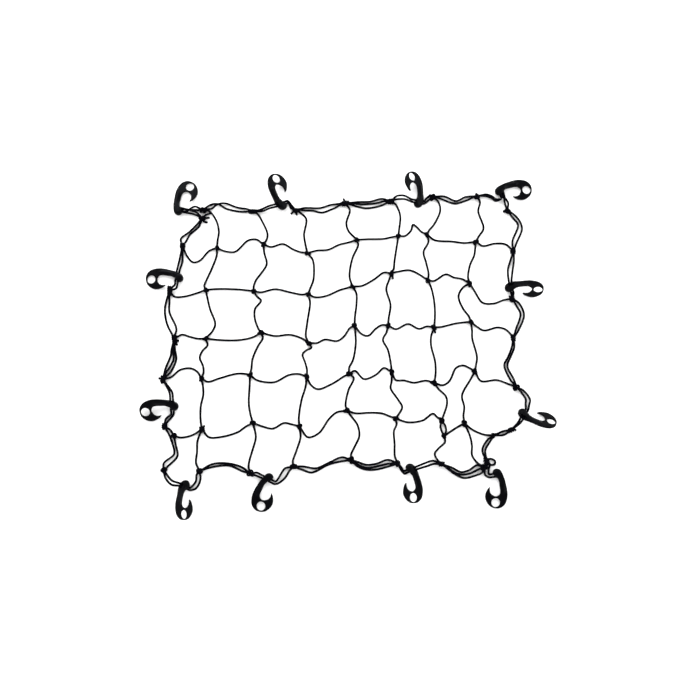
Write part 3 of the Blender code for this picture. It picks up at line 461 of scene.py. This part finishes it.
# Mesh cords running across the net, in the same form.
MESH_ACROSS = (
    ("L1", "k11", (187, 256), (193, 262.3), (200, 260.5), (209, 251)),
    ("k11", "k12", (224, 251), (235, 251.8), (248, 240.5), (256.5, 239.5)),
    ("k12", "k13", (271, 247), (283, 244), (293, 249.3), (300, 252)),
    ("k13", "k14", (317, 250.5), (328, 249.8), (339, 244.8), (349, 242.3)),
    ("k14", "k15", (366, 239.2), (384, 238.8), (391, 237.3)),
    ("k15", "k16", (405, 236), (411, 230.5), (413, 224.6), (416.5, 226.8), (421, 231.5)),
    ("k16", "k17", (435, 240.2), (452, 241.5), (464, 243), (469, 242.6)),
    ("k17", "R1", (483, 246), (495, 243.5), (506, 244.5)),
    ("L2", "k21", (174.5, 296.6), (184, 296.6), (198, 292.8)),
    ("k21", "k22", (216, 289), (238, 289.4), (246, 290.2)),
    ("k22", "k23", (261, 292.3), (275, 289.2), (291, 292.5), (301, 294.5)),
    ("k23", "k24", (315, 297.2), (326, 296), (340, 290)),
    ("k24", "k25", (362, 285.8), (374, 279.5), (384, 272.5)),
    ("k25", "k26", (398, 271.7), (410, 270.3), (421, 275.5)),
    ("k26", "k27", (434, 281), (446, 274.3), (454, 277.5), (462, 279)),
    ("k27", "R2", (474.5, 291), (482.5, 302.6), (494, 303.5), (504, 300)),
    ("L3", "k31", (182, 334.7), (190, 336.8), (198, 338.7)),
    ("k31", "k32", (223, 340.2), (240, 340), (253.5, 337)),
    ("k32", "k33", (275, 336), (290, 334.8), (301, 338)),
    ("k33", "k34", (317, 343), (325, 339.5), (337, 341), (344, 336.5), (349.5, 328.5)),
    ("k34", "k35", (361, 333.5), (368, 335.8), (376, 328.5), (382, 325)),
    ("k35", "k36", (396, 329.1), (408, 324), (419, 328.8), (427, 326.4)),
    ("k36", "k37", (441, 327), (455, 323.6), (464, 322.4)),
    ("k37", "R3", (476, 326), (484, 330.4), (498, 327.4), (506.5, 330)),
    ("L4", "k41", (171, 377.2), (180, 370), (191, 368.4), (198, 372.5)),
    ("k41", "k42", (208, 381.8), (219, 378.5), (235, 374), (243, 373.6)),
    ("k42", "k43", (257, 380.2), (274, 382.2), (289, 375), (299, 374)),
    ("k43", "k44", (311, 385), (318, 389.2), (333, 383.3), (343, 377)),
    ("k44", "k45", (355, 370.8), (364, 379), (376, 374.7), (384, 368)),
    ("k45", "k46", (395.8, 380), (404, 380.4), (414, 382.7), (426, 380.6)),
    ("k46", "k47", (443, 385.2), (449.5, 381), (456, 368), (463, 365.4), (469, 367.8)),
    ("k47", "R4", (481, 381), (497, 380.1), (509, 384.3)),
    ("L5b", "k51", (181, 437.6), (192, 435.3)),
    ("k51", "k52", (209, 437.2), (222, 436.8), (238, 432), (246, 426.5)),
    ("k52", "k53", (263, 426.6), (273, 428.6), (284, 423), (292, 424.4)),
    ("k53", "k54", (308, 437.2), (319, 433), (329, 419), (337, 412.2)),
    ("k54", "k55", (356, 413.3), (370, 412.7), (382, 413.4), (389, 416)),
    ("k55", "k56", (408, 422.3), (423, 420.3), (433, 413.6), (437, 417)),
    ("k57", "k56b", (456, 428), (450, 432)),
    ("k57", "R5b", (473, 430), (484, 434.6)))

# Border cords, round the net from its first corner.  A word is a knot, or a hook's eye passed
# in lane -1 or +1 of the eye; a "turn" passes in by one side of the eye and comes back out.
BORDER = (
    ("T1", (210, 205), (218, 204), (226, 208.6), (241, 211.8), "T2"),
    ("T1", (211, 209), (218, 205), (226, 203.6), (237, 207.4), (246, 209), "T2"),
    ("T2", (261.5, 209.8), (268.5, 207.5), ("hook_02", 1), (291.6, 205.4), "T3"),
    ("T2", (261.6, 212.0), (269, 209.7), ("hook_02", -1), (291, 208.4), "T3"),
    ("T3", (304, 208), (320, 208), (332, 204.6), "T4"),
    ("T3", (304, 210.6), (313, 210.8), (322, 212.6), (332, 209.2), "T4"),
    ("T4", (357, 202), (370, 201.6), (382, 198.8), "T5"),
    ("T4", (357, 206.5), (366, 208.3), (380, 206), "T5"),
    ("T4", (358, 204.4), (372, 203.8), (383, 202), "T5"),
    ("T5", (396.5, 196.6), (403.5, 196.8), ("hook_03", 1), (428, 197), "T6"),
    ("T5", (397.5, 200), (404.5, 200.6), ("hook_03", -1), (428.6, 200.6), "T6"),
    ("T6", (444, 196.3), (456, 201), (466, 196.8), "T7"),
    ("T6", (442, 199.4), (455, 203.6), (466, 200.6), "T7"),
    ("T7", (485.5, 194.4), (491, 196), (496, 199.4), ("hook_04", "turn", 0), (504.6, 203), "R0"),
    ("T7", (485, 196.6), (490.6, 198.2), (495.6, 201.6), ("hook_04", "turn", 1), (507.6, 203.5), "R0"),
    ("R0", (512.5, 217.5), (518, 225), (512.5, 241), "R1"),
    ("R0", (517, 217.5), (522, 228), (516.5, 243), "R1"),
    ("R1", (510.3, 261), (507.5, 270), ("hook_05", -1), "R2"),
    ("R1", (513.8, 261), (512, 271), ("hook_05", 1), "R2"),
    ("R2", (516.5, 306), (520.5, 314), (516, 329), "R3"),
    ("R2", (519.5, 304), (524, 315), (518.6, 330), "R3"),
    ("R3", (511.6, 348), (508, 357), (504.3, 365), (509.4, 378), "R4"),
    ("R3", (514, 348), (511, 356), (507.4, 366), (513, 378), "R4"),
    ("R4", (523.5, 390.5), (530, 399.5), (529.2, 404.6), ("hook_06", 1), (518.6, 423.6), "R5"),
    ("R4", (520.6, 391.8), (525.8, 399), (525.6, 403.6), ("hook_06", -1), (516.9, 422.2), "R5"),
    ("R5", (503, 431.3), "R5b"),
    ("R5", (504, 434.8), "R5b"),
    ("R5b", (487, 440.5), (482.3, 450), "B8"),
    ("R5b", (489, 443), (485, 451), "B8"),
    ("B8", (489.8, 464), (488.6, 469), ("hook_07", "turn", 0), (485, 474.8), "B7"),
    ("B7", (477, 465.2), (469, 470.2), (461, 472), (452, 467.6), "B6"),
    ("B7", (478, 469.5), (470, 473.5), (459, 474.3), (450, 469.6), "B6"),
    ("B8", (482, 472.3), (474, 476), (464, 478), (454, 473.6), "B6"),
    ("B6", (433, 460.8), (426, 462.6), ("hook_08", -1), (401, 467), "B5"),
    ("B6", (433, 464), (427, 466), ("hook_08", 1), (401.4, 470.4), "B5"),
    ("B5", (388, 459.8), (376, 463.8), (366, 464.7), (358, 462), "B4"),
    ("B5", (388, 463.8), (376, 466.6), (367, 467.8), (358, 464.8), "B4"),
    ("B5", (388, 466.6), (376, 469.6), (365, 469.4), (357, 466), "B4"),
    ("B4", (342, 457.2), (330, 462.2), (316, 468.2), (303, 466.4), "B3"),
    ("B4", (341, 461.4), (328, 464.8), (312, 472.5), (302, 469.6), "B3"),
    ("B3", (285, 468.4), (281, 474), (278.4, 478.6), ("hook_09", -1), (257, 472.6), "B2"),
    ("B3", (289.4, 471), (285, 478), (278.8, 483), ("hook_09", 1), (256, 475.4), "B2"),
    ("B2", (241, 466.8), (226, 463.2), (212, 464.2), "B1"),
    ("B2", (242, 471), (229, 465.6), (212, 467.2), "B1"),
    ("B1", (196.6, 475), (195.8, 481.4), ("hook_10", -1), (173, 480.4), (168, 475.6), "L6"),
    ("B1", (200.6, 477), (199, 484), (195.6, 488.6), ("hook_10", 1), (172.4, 484.4), (166.4, 478.6), "L6"),
    ("L6", (168, 466.2), (177.4, 456), (175.5, 444), "L5b"),
    ("L6", (164, 463), (174, 454), (171.5, 441), (168, 432.5), "L5"),
    ("L5b", (170.5, 430), "L5"),
    ("L5", (166, 419), ("hook_11", 1), (170.3, 393), "L4"),
    ("L5", (169, 420.5), ("hook_11", -1), (172.6, 392), "L4"),
    ("L4", (165.5, 368.5), (170.6, 356), (171.6, 349), "L3"),
    ("L4", (170.5, 372.2), (176.3, 359), (175, 350), "L3"),
    ("L4", (167.6, 371), (173.6, 359), (173.4, 350), "L3"),
    ("L3", (167, 324), (164.8, 311), (166.3, 301), "L2"),
    ("L3", (176.3, 328.5), (169.4, 312), (169.5, 302), "L2"),
    ("L2", (172.6, 287.6), ("hook_12", 1), (179.2, 262), "L1"),
    ("L2", (176.4, 289), ("hook_12", -1), (182.6, 262), "L1"),
    ("L1", (180.8, 239), (190, 231.4), (197, 224.4), "TC"),
    ("L1", (185.4, 243), (189.4, 235.4), (199.5, 226), "TC"),
    ("TC", (194.6, 214.6), ("hook_01", "turn", 0), (194, 210), "T1"),
    ("TC", (196.6, 213.0), ("hook_01", "turn", 1), (195, 207.2), "T1"))

# Short free ends left at knots: knot, layout points out to the cut end.
TAILS = (
    ("TC", (206, 215), (210.5, 213.2)),
    ("TC", (206.5, 218), (209.5, 217.6)),
    ("TC", (204, 221.5), (207.5, 222.4)),
    ("T3", (293, 212), (291, 214)),
    ("T3", (296, 213), (297, 215)),
    ("T4", (344.5, 201), (343.5, 198.6)),
    ("k25", (392.4, 276), (393, 279)),
    ("k36", (434.6, 330), (435.4, 333)),
    ("k51", (203, 427.5), (204.6, 425.6)),
    ("L3", (177, 340.5), (178.8, 341)),
    ("L3", (176, 343.5), (177.4, 345)),
    ("L4", (160.5, 378.5), (158.6, 378.2)),
    ("R5", (513.5, 429), (516, 430.4)),
    ("B8", (489.5, 459), (492.6, 459.2), (495.2, 461.6), (494.4, 464.4), (491, 465)))


def braided_sheath(name, dark, light):
    """Matt black braid on the cord's own round-and-along coordinates, with a painted thread sheen on its
    crests in patches.
    """
    mat = bpy.data.materials.new(name)
    mat.use_nodes = True
    nodes = mat.node_tree.nodes
    links = mat.node_tree.links
    shader = nodes["Principled BSDF"]
    shader.inputs["Roughness"].default_value = 0.72
    shader.inputs["Specular IOR Level"].default_value = 0.0
    around = nodes.new("ShaderNodeUVMap")
    around.uv_map = "sheath"
    weave = []
    for turn in (-1, 1):
        place = nodes.new("ShaderNodeMapping")
        place.inputs["Scale"].default_value = (8, turn * 440, 1)
        band = nodes.new("ShaderNodeTexWave")
        band.wave_type = 'BANDS'
        band.bands_direction = 'DIAGONAL'
        band.inputs["Scale"].default_value = 0.3333
        band.inputs["Distortion"].default_value = 0.0
        links.new(around.outputs["UV"], place.inputs["Vector"])
        links.new(place.outputs["Vector"], band.inputs["Vector"])
        weave.append(band)
    braid = nodes.new("ShaderNodeMath")
    braid.operation = 'MULTIPLY'
    links.new(weave[0].outputs["Fac"], braid.inputs[0])
    links.new(weave[1].outputs["Fac"], braid.inputs[1])
    # Noise breaks the painted thread sheen on the braid's crests into patches.
    sheen_patches = nodes.new("ShaderNodeTexNoise")
    sheen_patches.inputs["Scale"].default_value = 38
    sheen_patches.inputs["Detail"].default_value = 3
    object_place = nodes.new("ShaderNodeTexCoord")
    links.new(object_place.outputs["Object"], sheen_patches.inputs["Vector"])
    shade = nodes.new("ShaderNodeMix")
    shade.data_type = 'RGBA'
    shade.inputs["A"].default_value = (*dark, 1)
    shade.inputs["B"].default_value = (*light, 1)
    # Painted sheen: the lighter colour shows where the braid's crests meet the noise patches, in place of
    # a real sheen.
    sheen_mask = nodes.new("ShaderNodeMath")
    sheen_mask.operation = 'MULTIPLY'
    links.new(braid.outputs["Value"], sheen_mask.inputs[0])
    links.new(sheen_patches.outputs["Fac"], sheen_mask.inputs[1])
    links.new(sheen_mask.outputs["Value"], shade.inputs["Factor"])
    links.new(shade.outputs["Result"], shader.inputs["Base Color"])
    bump = nodes.new("ShaderNodeBump")
    bump.inputs["Strength"].default_value = 0.5
    bump.inputs["Distance"].default_value = 0.0003
    links.new(braid.outputs["Value"], bump.inputs["Height"])
    links.new(bump.outputs["Normal"], shader.inputs["Normal"])
    return mat


KNOT_SIZE = {row[0]: row[3:] for row in KNOTS}
KNOT_AT = {row[0]: floor_point(row[1], row[2]) for row in KNOTS}


def spline(points, step=1.5 * MM):
    """Centripetal Catmull-Rom curve through the points, as close samples."""
    pts = [2 * points[0] - points[1]] + list(points) + [2 * points[-1] - points[-2]]
    out = [points[0].copy()]
    for i in range(1, len(pts) - 2):
        p0, p1, p2, p3 = pts[i - 1:i + 3]
        t0 = 0.0
        t1 = t0 + math.sqrt(max((p1 - p0).length, 1e-6))
        t2 = t1 + math.sqrt(max((p2 - p1).length, 1e-6))
        t3 = t2 + math.sqrt(max((p3 - p2).length, 1e-6))
        count = max(2, math.ceil((p2 - p1).length / step))
        for k in range(1, count + 1):
            t = t1 + (t2 - t1) * k / count
            a1 = p0 * ((t1 - t) / (t1 - t0)) + p1 * ((t - t0) / (t1 - t0))
            a2 = p1 * ((t2 - t) / (t2 - t1)) + p2 * ((t - t1) / (t2 - t1))
            a3 = p2 * ((t3 - t) / (t3 - t2)) + p3 * ((t - t2) / (t3 - t2))
            b1 = a1 * ((t2 - t) / (t2 - t0)) + a2 * ((t - t0) / (t2 - t0))
            b2 = a2 * ((t3 - t) / (t3 - t1)) + a3 * ((t - t1) / (t3 - t1))
            out.append(b1 * ((t2 - t) / (t2 - t1)) + b2 * ((t - t1) / (t2 - t1)))
    return out


def smooth_cord(samples, leave=0.05 * MM, longest=7 * MM):
    """The samples thinned where the cord runs straight."""
    keep = [0]
    while keep[-1] < len(samples) - 1:
        start = keep[-1]
        end = start + 1
        while end + 1 < len(samples):
            a = samples[start]
            ab = samples[end + 1] - a
            if ab.length > longest:
                break
            far = max(((p - a) - ab * ((p - a).dot(ab) / ab.length_squared)).length
                      for p in samples[start + 1:end + 1])
            if far > leave:
                break
            end += 1
        keep.append(end)
    return [samples[i] for i in keep]


def eye_points(pose, before, rule):
    """A cord's points through a hook's eye, the lane straight or turned back."""
    mid = pose @ Vector((EYE_AT[0], EYE_AT[1], 0))
    along = pose.to_3x3() @ Vector((1, 0, 0))
    out = pose.to_3x3() @ Vector((0, 1, 0))
    lift = pose.to_3x3() @ Vector((0, 0, 1))
    if lift.z < 0:
        lift = -lift
    if rule[1] == "turn":
        level = lift * TURN_LAYER * (2 * rule[2] - 1)
        pairs = [(-1, 15), (-1, 9), (-1, 3), (-1, -2), (-0.72, -4.2), (0, -5), (0.72, -4.2),
                 (1, -2), (1, 3), (1, 9), (1, 15)]
        points = [mid + level + along * TURN_R * a + out * b * MM for a, b in pairs]
        if (points[-1] - before).length < (points[0] - before).length:
            points.reverse()
        return points
    lane = mid + along * LANE * rule[1]
    points = [lane + out * t * MM for t in (-14.5, -7, 0, 7, 14.5)]
    if (points[-1] - before).length < (points[0] - before).length:
        points.reverse()
    return points


def toward(start, other, distance):
    """A point a little way from start toward another."""
    return start + (other - start).normalized() * distance


def border_route(row):
    """A border cord's points, knot to knot, with the heights it needs at a hook."""
    points = []
    exits = []
    for step in row[1:-1]:
        if isinstance(step[0], str):
            before = points[-1] if points else KNOT_AT[row[0]]
            through = eye_points(hook_poses[step[0]], before, step)
            exits += [through[0], through[-1]]
            points += through
        else:
            points.append(floor_point(*step))
    placed = []
    for p in points:
        near = min(exits, key=lambda e: (e - p).length, default=None)
        if near is not None and abs(p.z - CORD_Z) < 1e-6:
            share = max(0.0, 1.0 - (near.xy - p.xy).length / EYE_DROP)
            p = Vector((p.x, p.y, CORD_Z + (near.z - CORD_Z) * share ** 1.5))
        placed.append(p)
    first = toward(KNOT_AT[row[0]], placed[0], END_IN)
    last = toward(KNOT_AT[row[-1]], placed[-1], END_IN)
    first.z = CORD_Z
    last.z = CORD_Z
    return [first] + placed + [last]


def laid_over(samples, laid):
    """Lifts a cord over those laid before it, except inside knots and hooks."""
    here = np.array([tuple(p) for p in samples])
    eyes = [pose @ Vector((EYE_AT[0], EYE_AT[1], 0)) for pose in hook_poses.values()]
    lifts = np.zeros(len(samples))
    if laid:
        under = np.array([tuple(p) for path in laid for p in path])
        for i, p in enumerate(here):
            if any((e.xy - samples[i].xy).length < EYE_NEAR for e in eyes):
                continue
            gap = np.hypot(under[:, 0] - p[0], under[:, 1] - p[1])
            near = gap < STACK
            if near.any():
                need = under[near, 2] + np.sqrt(STACK ** 2 - gap[near] ** 2) - p[2]
                close = under[near, 2] > p[2] - STACK
                lifts[i] = max(0.0, float(np.where(close, need, 0.0).max()))
                if min((k.xy - samples[i].xy).length for k in KNOT_AT.values()) < KNOT_NEAR:
                    lifts[i] = min(lifts[i], max(0.0, CORD_Z + STACK - p[2]))
    run = np.concatenate(([0.0], np.cumsum(np.linalg.norm(np.diff(here, axis=0), axis=1))))
    free = np.ones(len(samples))
    for e in eyes:
        away = np.hypot(here[:, 0] - e.x, here[:, 1] - e.y)
        free = np.minimum(free, np.clip((away - EYE_CLEAR) / EYE_FADE, 0.0, 1.0))
    level = here[:, 2].copy()
    for i in np.nonzero(lifts)[0]:
        away = np.abs(run - run[i]) / STACK_RAMP
        share = np.clip(1.0 - away ** 2, 0.0, 1.0)
        here[:, 2] = np.maximum(here[:, 2], level + free * lifts[i] * share)
    return [Vector((p[0], p[1], max(p[2], CORD_Z))) for p in here]


def into_knots(samples, first, last):
    """Brings a cord's two ends up to the middles of its knots."""
    run = [0.0]
    for a, b in zip(samples, samples[1:]):
        run.append(run[-1] + (b - a).length)
    out = []
    for p, r in zip(samples, run):
        z = p.z
        for knot, away in ((first, r), (last, run[-1] - r)):
            if knot is not None and away < KNOT_DROP:
                share = 0.5 + 0.5 * math.cos(math.pi * away / KNOT_DROP)
                z = max(z, CORD_Z + (KNOT_MID * KNOT_SIZE[knot][2] * MM - CORD_Z) * share)
        out.append(Vector((p.x, p.y, z)))
    return out


net_verts = []
net_faces = []
net_round = []


def lay_cord(points, radius, sides=CORD_SIDES, closed=False):
    """Adds a round cord along the points, with its round-and-along coordinates."""
    count = len(points)
    start = len(net_verts)
    run = 0.0
    up = Vector((0.13, 0.07, 1)).normalized()
    rings = []
    for i, p in enumerate(points):
        ahead = points[(i + 1) % count if closed else min(i + 1, count - 1)]
        behind = points[i - 1 if closed else max(i - 1, 0)]
        along = (ahead - behind).normalized()
        side = along.cross(up).normalized()
        up = side.cross(along).normalized()
        if i:
            run += (p - points[i - 1]).length
        rings.append(run)
        for k in range(sides):
            angle = math.tau * k / sides
            net_verts.append(p + radius * (side * math.cos(angle) + up * math.sin(angle)))
    for i in range(count if closed else count - 1):
        a = start + sides * i
        b = start + sides * ((i + 1) % count)
        far = rings[i + 1] if i + 1 < count else run + (points[0] - points[-1]).length
        for k in range(sides):
            n = (k + 1) % sides
            net_faces.append((a + k, a + n, b + n, b + k))
            net_round.append(((k / sides, rings[i]), ((k + 1) / sides, rings[i]),
                              ((k + 1) / sides, far), (k / sides, far)))
    if not closed:
        for ring, tip, flip in ((start, points[0] - points[1], True),
                                (start + sides * (count - 1), points[-1] - points[-2], False)):
            cap = len(net_verts)
            middle = points[0] if flip else points[-1]
            net_verts.append(middle + tip.normalized() * 0.45 * radius)
            for k in range(sides):
                n = (k + 1) % sides
                net_faces.append((ring + n, ring + k, cap) if flip else (ring + k, ring + n, cap))
                net_round.append(((k / sides, 0), ((k + 1) / sides, 0), (k / sides, 0.001)))


def tied_knot(across, down, long, wide, high, turn):
    """A tight knot: an overhand turn for a single cord, wound turns for the border's."""
    mid = floor_point(across, down, 0.5 * high * MM)
    spin = Matrix.Rotation(math.radians(turn), 3, 'Z')
    radius = KNOT_CORD_R
    half = Vector((0.5 * long * MM - radius, 0.5 * wide * MM - radius, 0.5 * high * MM - radius))
    if long < WOUND_FROM:
        half.xy *= KNOT_OPEN
        phase = math.radians(across * 37 + down * 53)
        points = []
        for k in range(54):
            t = math.tau * k / 54
            p = Vector((math.sin(t) + 2 * math.sin(2 * t), math.cos(t) - 2 * math.cos(2 * t), 0))
            p.rotate(Matrix.Rotation(phase, 2).to_3x3().to_quaternion())
            p = Vector((p.x * half.x / 2.8, p.y * half.y / 2.8, -math.sin(3 * t) * half.z))
            points.append(mid + spin @ p)
        lay_cord(points, radius, 8, True)
        return
    turns = max(2, round(0.5 * long * MM / radius) - 1)
    points = []
    for k in range(turns * 14 + 1):
        t = k / (turns * 14)
        angle = math.tau * turns * t + 0.6
        belly = 1.0 - 0.18 * (2 * t - 1) ** 2
        p = Vector(((2 * t - 1) * half.x, half.y * belly * math.cos(angle),
                    half.z * belly * math.sin(angle)))
        points.append(mid + spin @ p)
    lay_cord(points, radius, 8)
    over = [(-1.0, 0.25, -0.2), (-0.75, 0.55, 0.75), (-0.1, 0.15, 1.18), (0.6, -0.5, 0.85),
            (1.0, -0.2, -0.1)]
    lay_cord(spline([mid + spin @ Vector((x * half.x, y * half.y, z * half.z))
                     for x, y, z in over], 1.6 * MM), radius, 8)


for row in MESH_DOWN + MESH_ACROSS:
    between = [floor_point(*p) for p in row[2:]]
    ends = (KNOT_AT[row[0]], KNOT_AT[row[1]])
    between.insert(0, toward(ends[0], between[0], END_IN))
    between.append(toward(ends[1], between[-1], END_IN))
    lay_cord(smooth_cord(into_knots(spline(between), row[0], row[1])), CORD_R)
border_laid = []
for row in BORDER:
    path = laid_over(spline(border_route(row)), border_laid)
    border_laid.append(path)
    lay_cord(smooth_cord(into_knots(path, row[0], row[-1])), CORD_R)
for row in KNOTS:
    tied_knot(*row[1:])
for knot, *steps in TAILS:
    points = [KNOT_AT[knot]] + [floor_point(*p) for p in steps]
    points[0].z = KNOT_MID * KNOT_SIZE[knot][2] * MM
    lay_cord(spline(points, 1.2 * MM), CORD_R)

net = new_object("net_cord", net_verts, net_faces)
sheath = net.data.uv_layers.new(name="sheath")
for face, corners in zip(net.data.polygons, net_round):
    placed = dict(zip(net_faces[face.index], corners))
    for loop in face.loop_indices:
        sheath.data[loop].uv = placed[net.data.loops[loop].vertex_index]
net.data.shade_smooth()
# The second colour is the braid's painted thread sheen; the first is the cord's own black.
net.data.materials.append(braided_sheath("braided sheath", (0.0009, 0.0009, 0.0016),
                                         (0.0090, 0.0090, 0.0126)))
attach(net, "root")
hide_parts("net")


# ---- floor and light ---------------------------------------------------------------------------
# A plain white studio table under the net, matt and much wider than it.  Five large soft lamps
# stand round it, brightest on the right and the far side, in a white room.
FLOOR_HALF = 6
bpy.context.scene.view_settings.view_transform = 'Standard'
floor = new_object("floor", [(x * FLOOR_HALF, y * FLOOR_HALF, 0)
                             for x, y in ((-1, -1), (1, -1), (1, 1), (-1, 1))], [(0, 1, 2, 3)])
pale = bpy.data.materials.new("pale floor")
pale.use_nodes = True
pale.node_tree.nodes["Principled BSDF"].inputs["Base Color"].default_value = (0.95, 0.95, 0.95, 1)
pale.node_tree.nodes["Principled BSDF"].inputs["Roughness"].default_value = 0.9
floor.data.materials.append(pale)
for name, place, long, high, power in (("left light", (-2.2, 1.2, 1.4), 2.6, 1.1, 34),
                                       ("right light", (2.4, 0.5, 1.4), 2.6, 1.1, 50),
                                       ("far light", (-0.3, 2.4, 1.7), 3.0, 1.1, 66),
                                       ("upper left light", (-0.6, 1.25, 1.7), 1.2, 0.6, 13),
                                       ("near light", (0.0, -2.4, 1.2), 3.0, 0.9, 36)):
    lamp = bpy.data.lights.new(name, 'AREA')
    lamp.shape = 'RECTANGLE'
    lamp.size = long
    lamp.size_y = high
    lamp.energy = power
    obj = bpy.data.objects.new(name, lamp)
    obj.location = place
    obj.rotation_euler = (Vector((0, 0, 0)) - Vector(place)).to_track_quat('-Z', 'Y').to_euler()
    bpy.context.scene.collection.objects.link(obj)
world = bpy.data.worlds.new("studio")
world.use_nodes = True
world.node_tree.nodes["Background"].inputs["Color"].default_value = (1, 1, 1, 1)
world.node_tree.nodes["Background"].inputs["Strength"].default_value = 0.92
bpy.context.scene.world = world
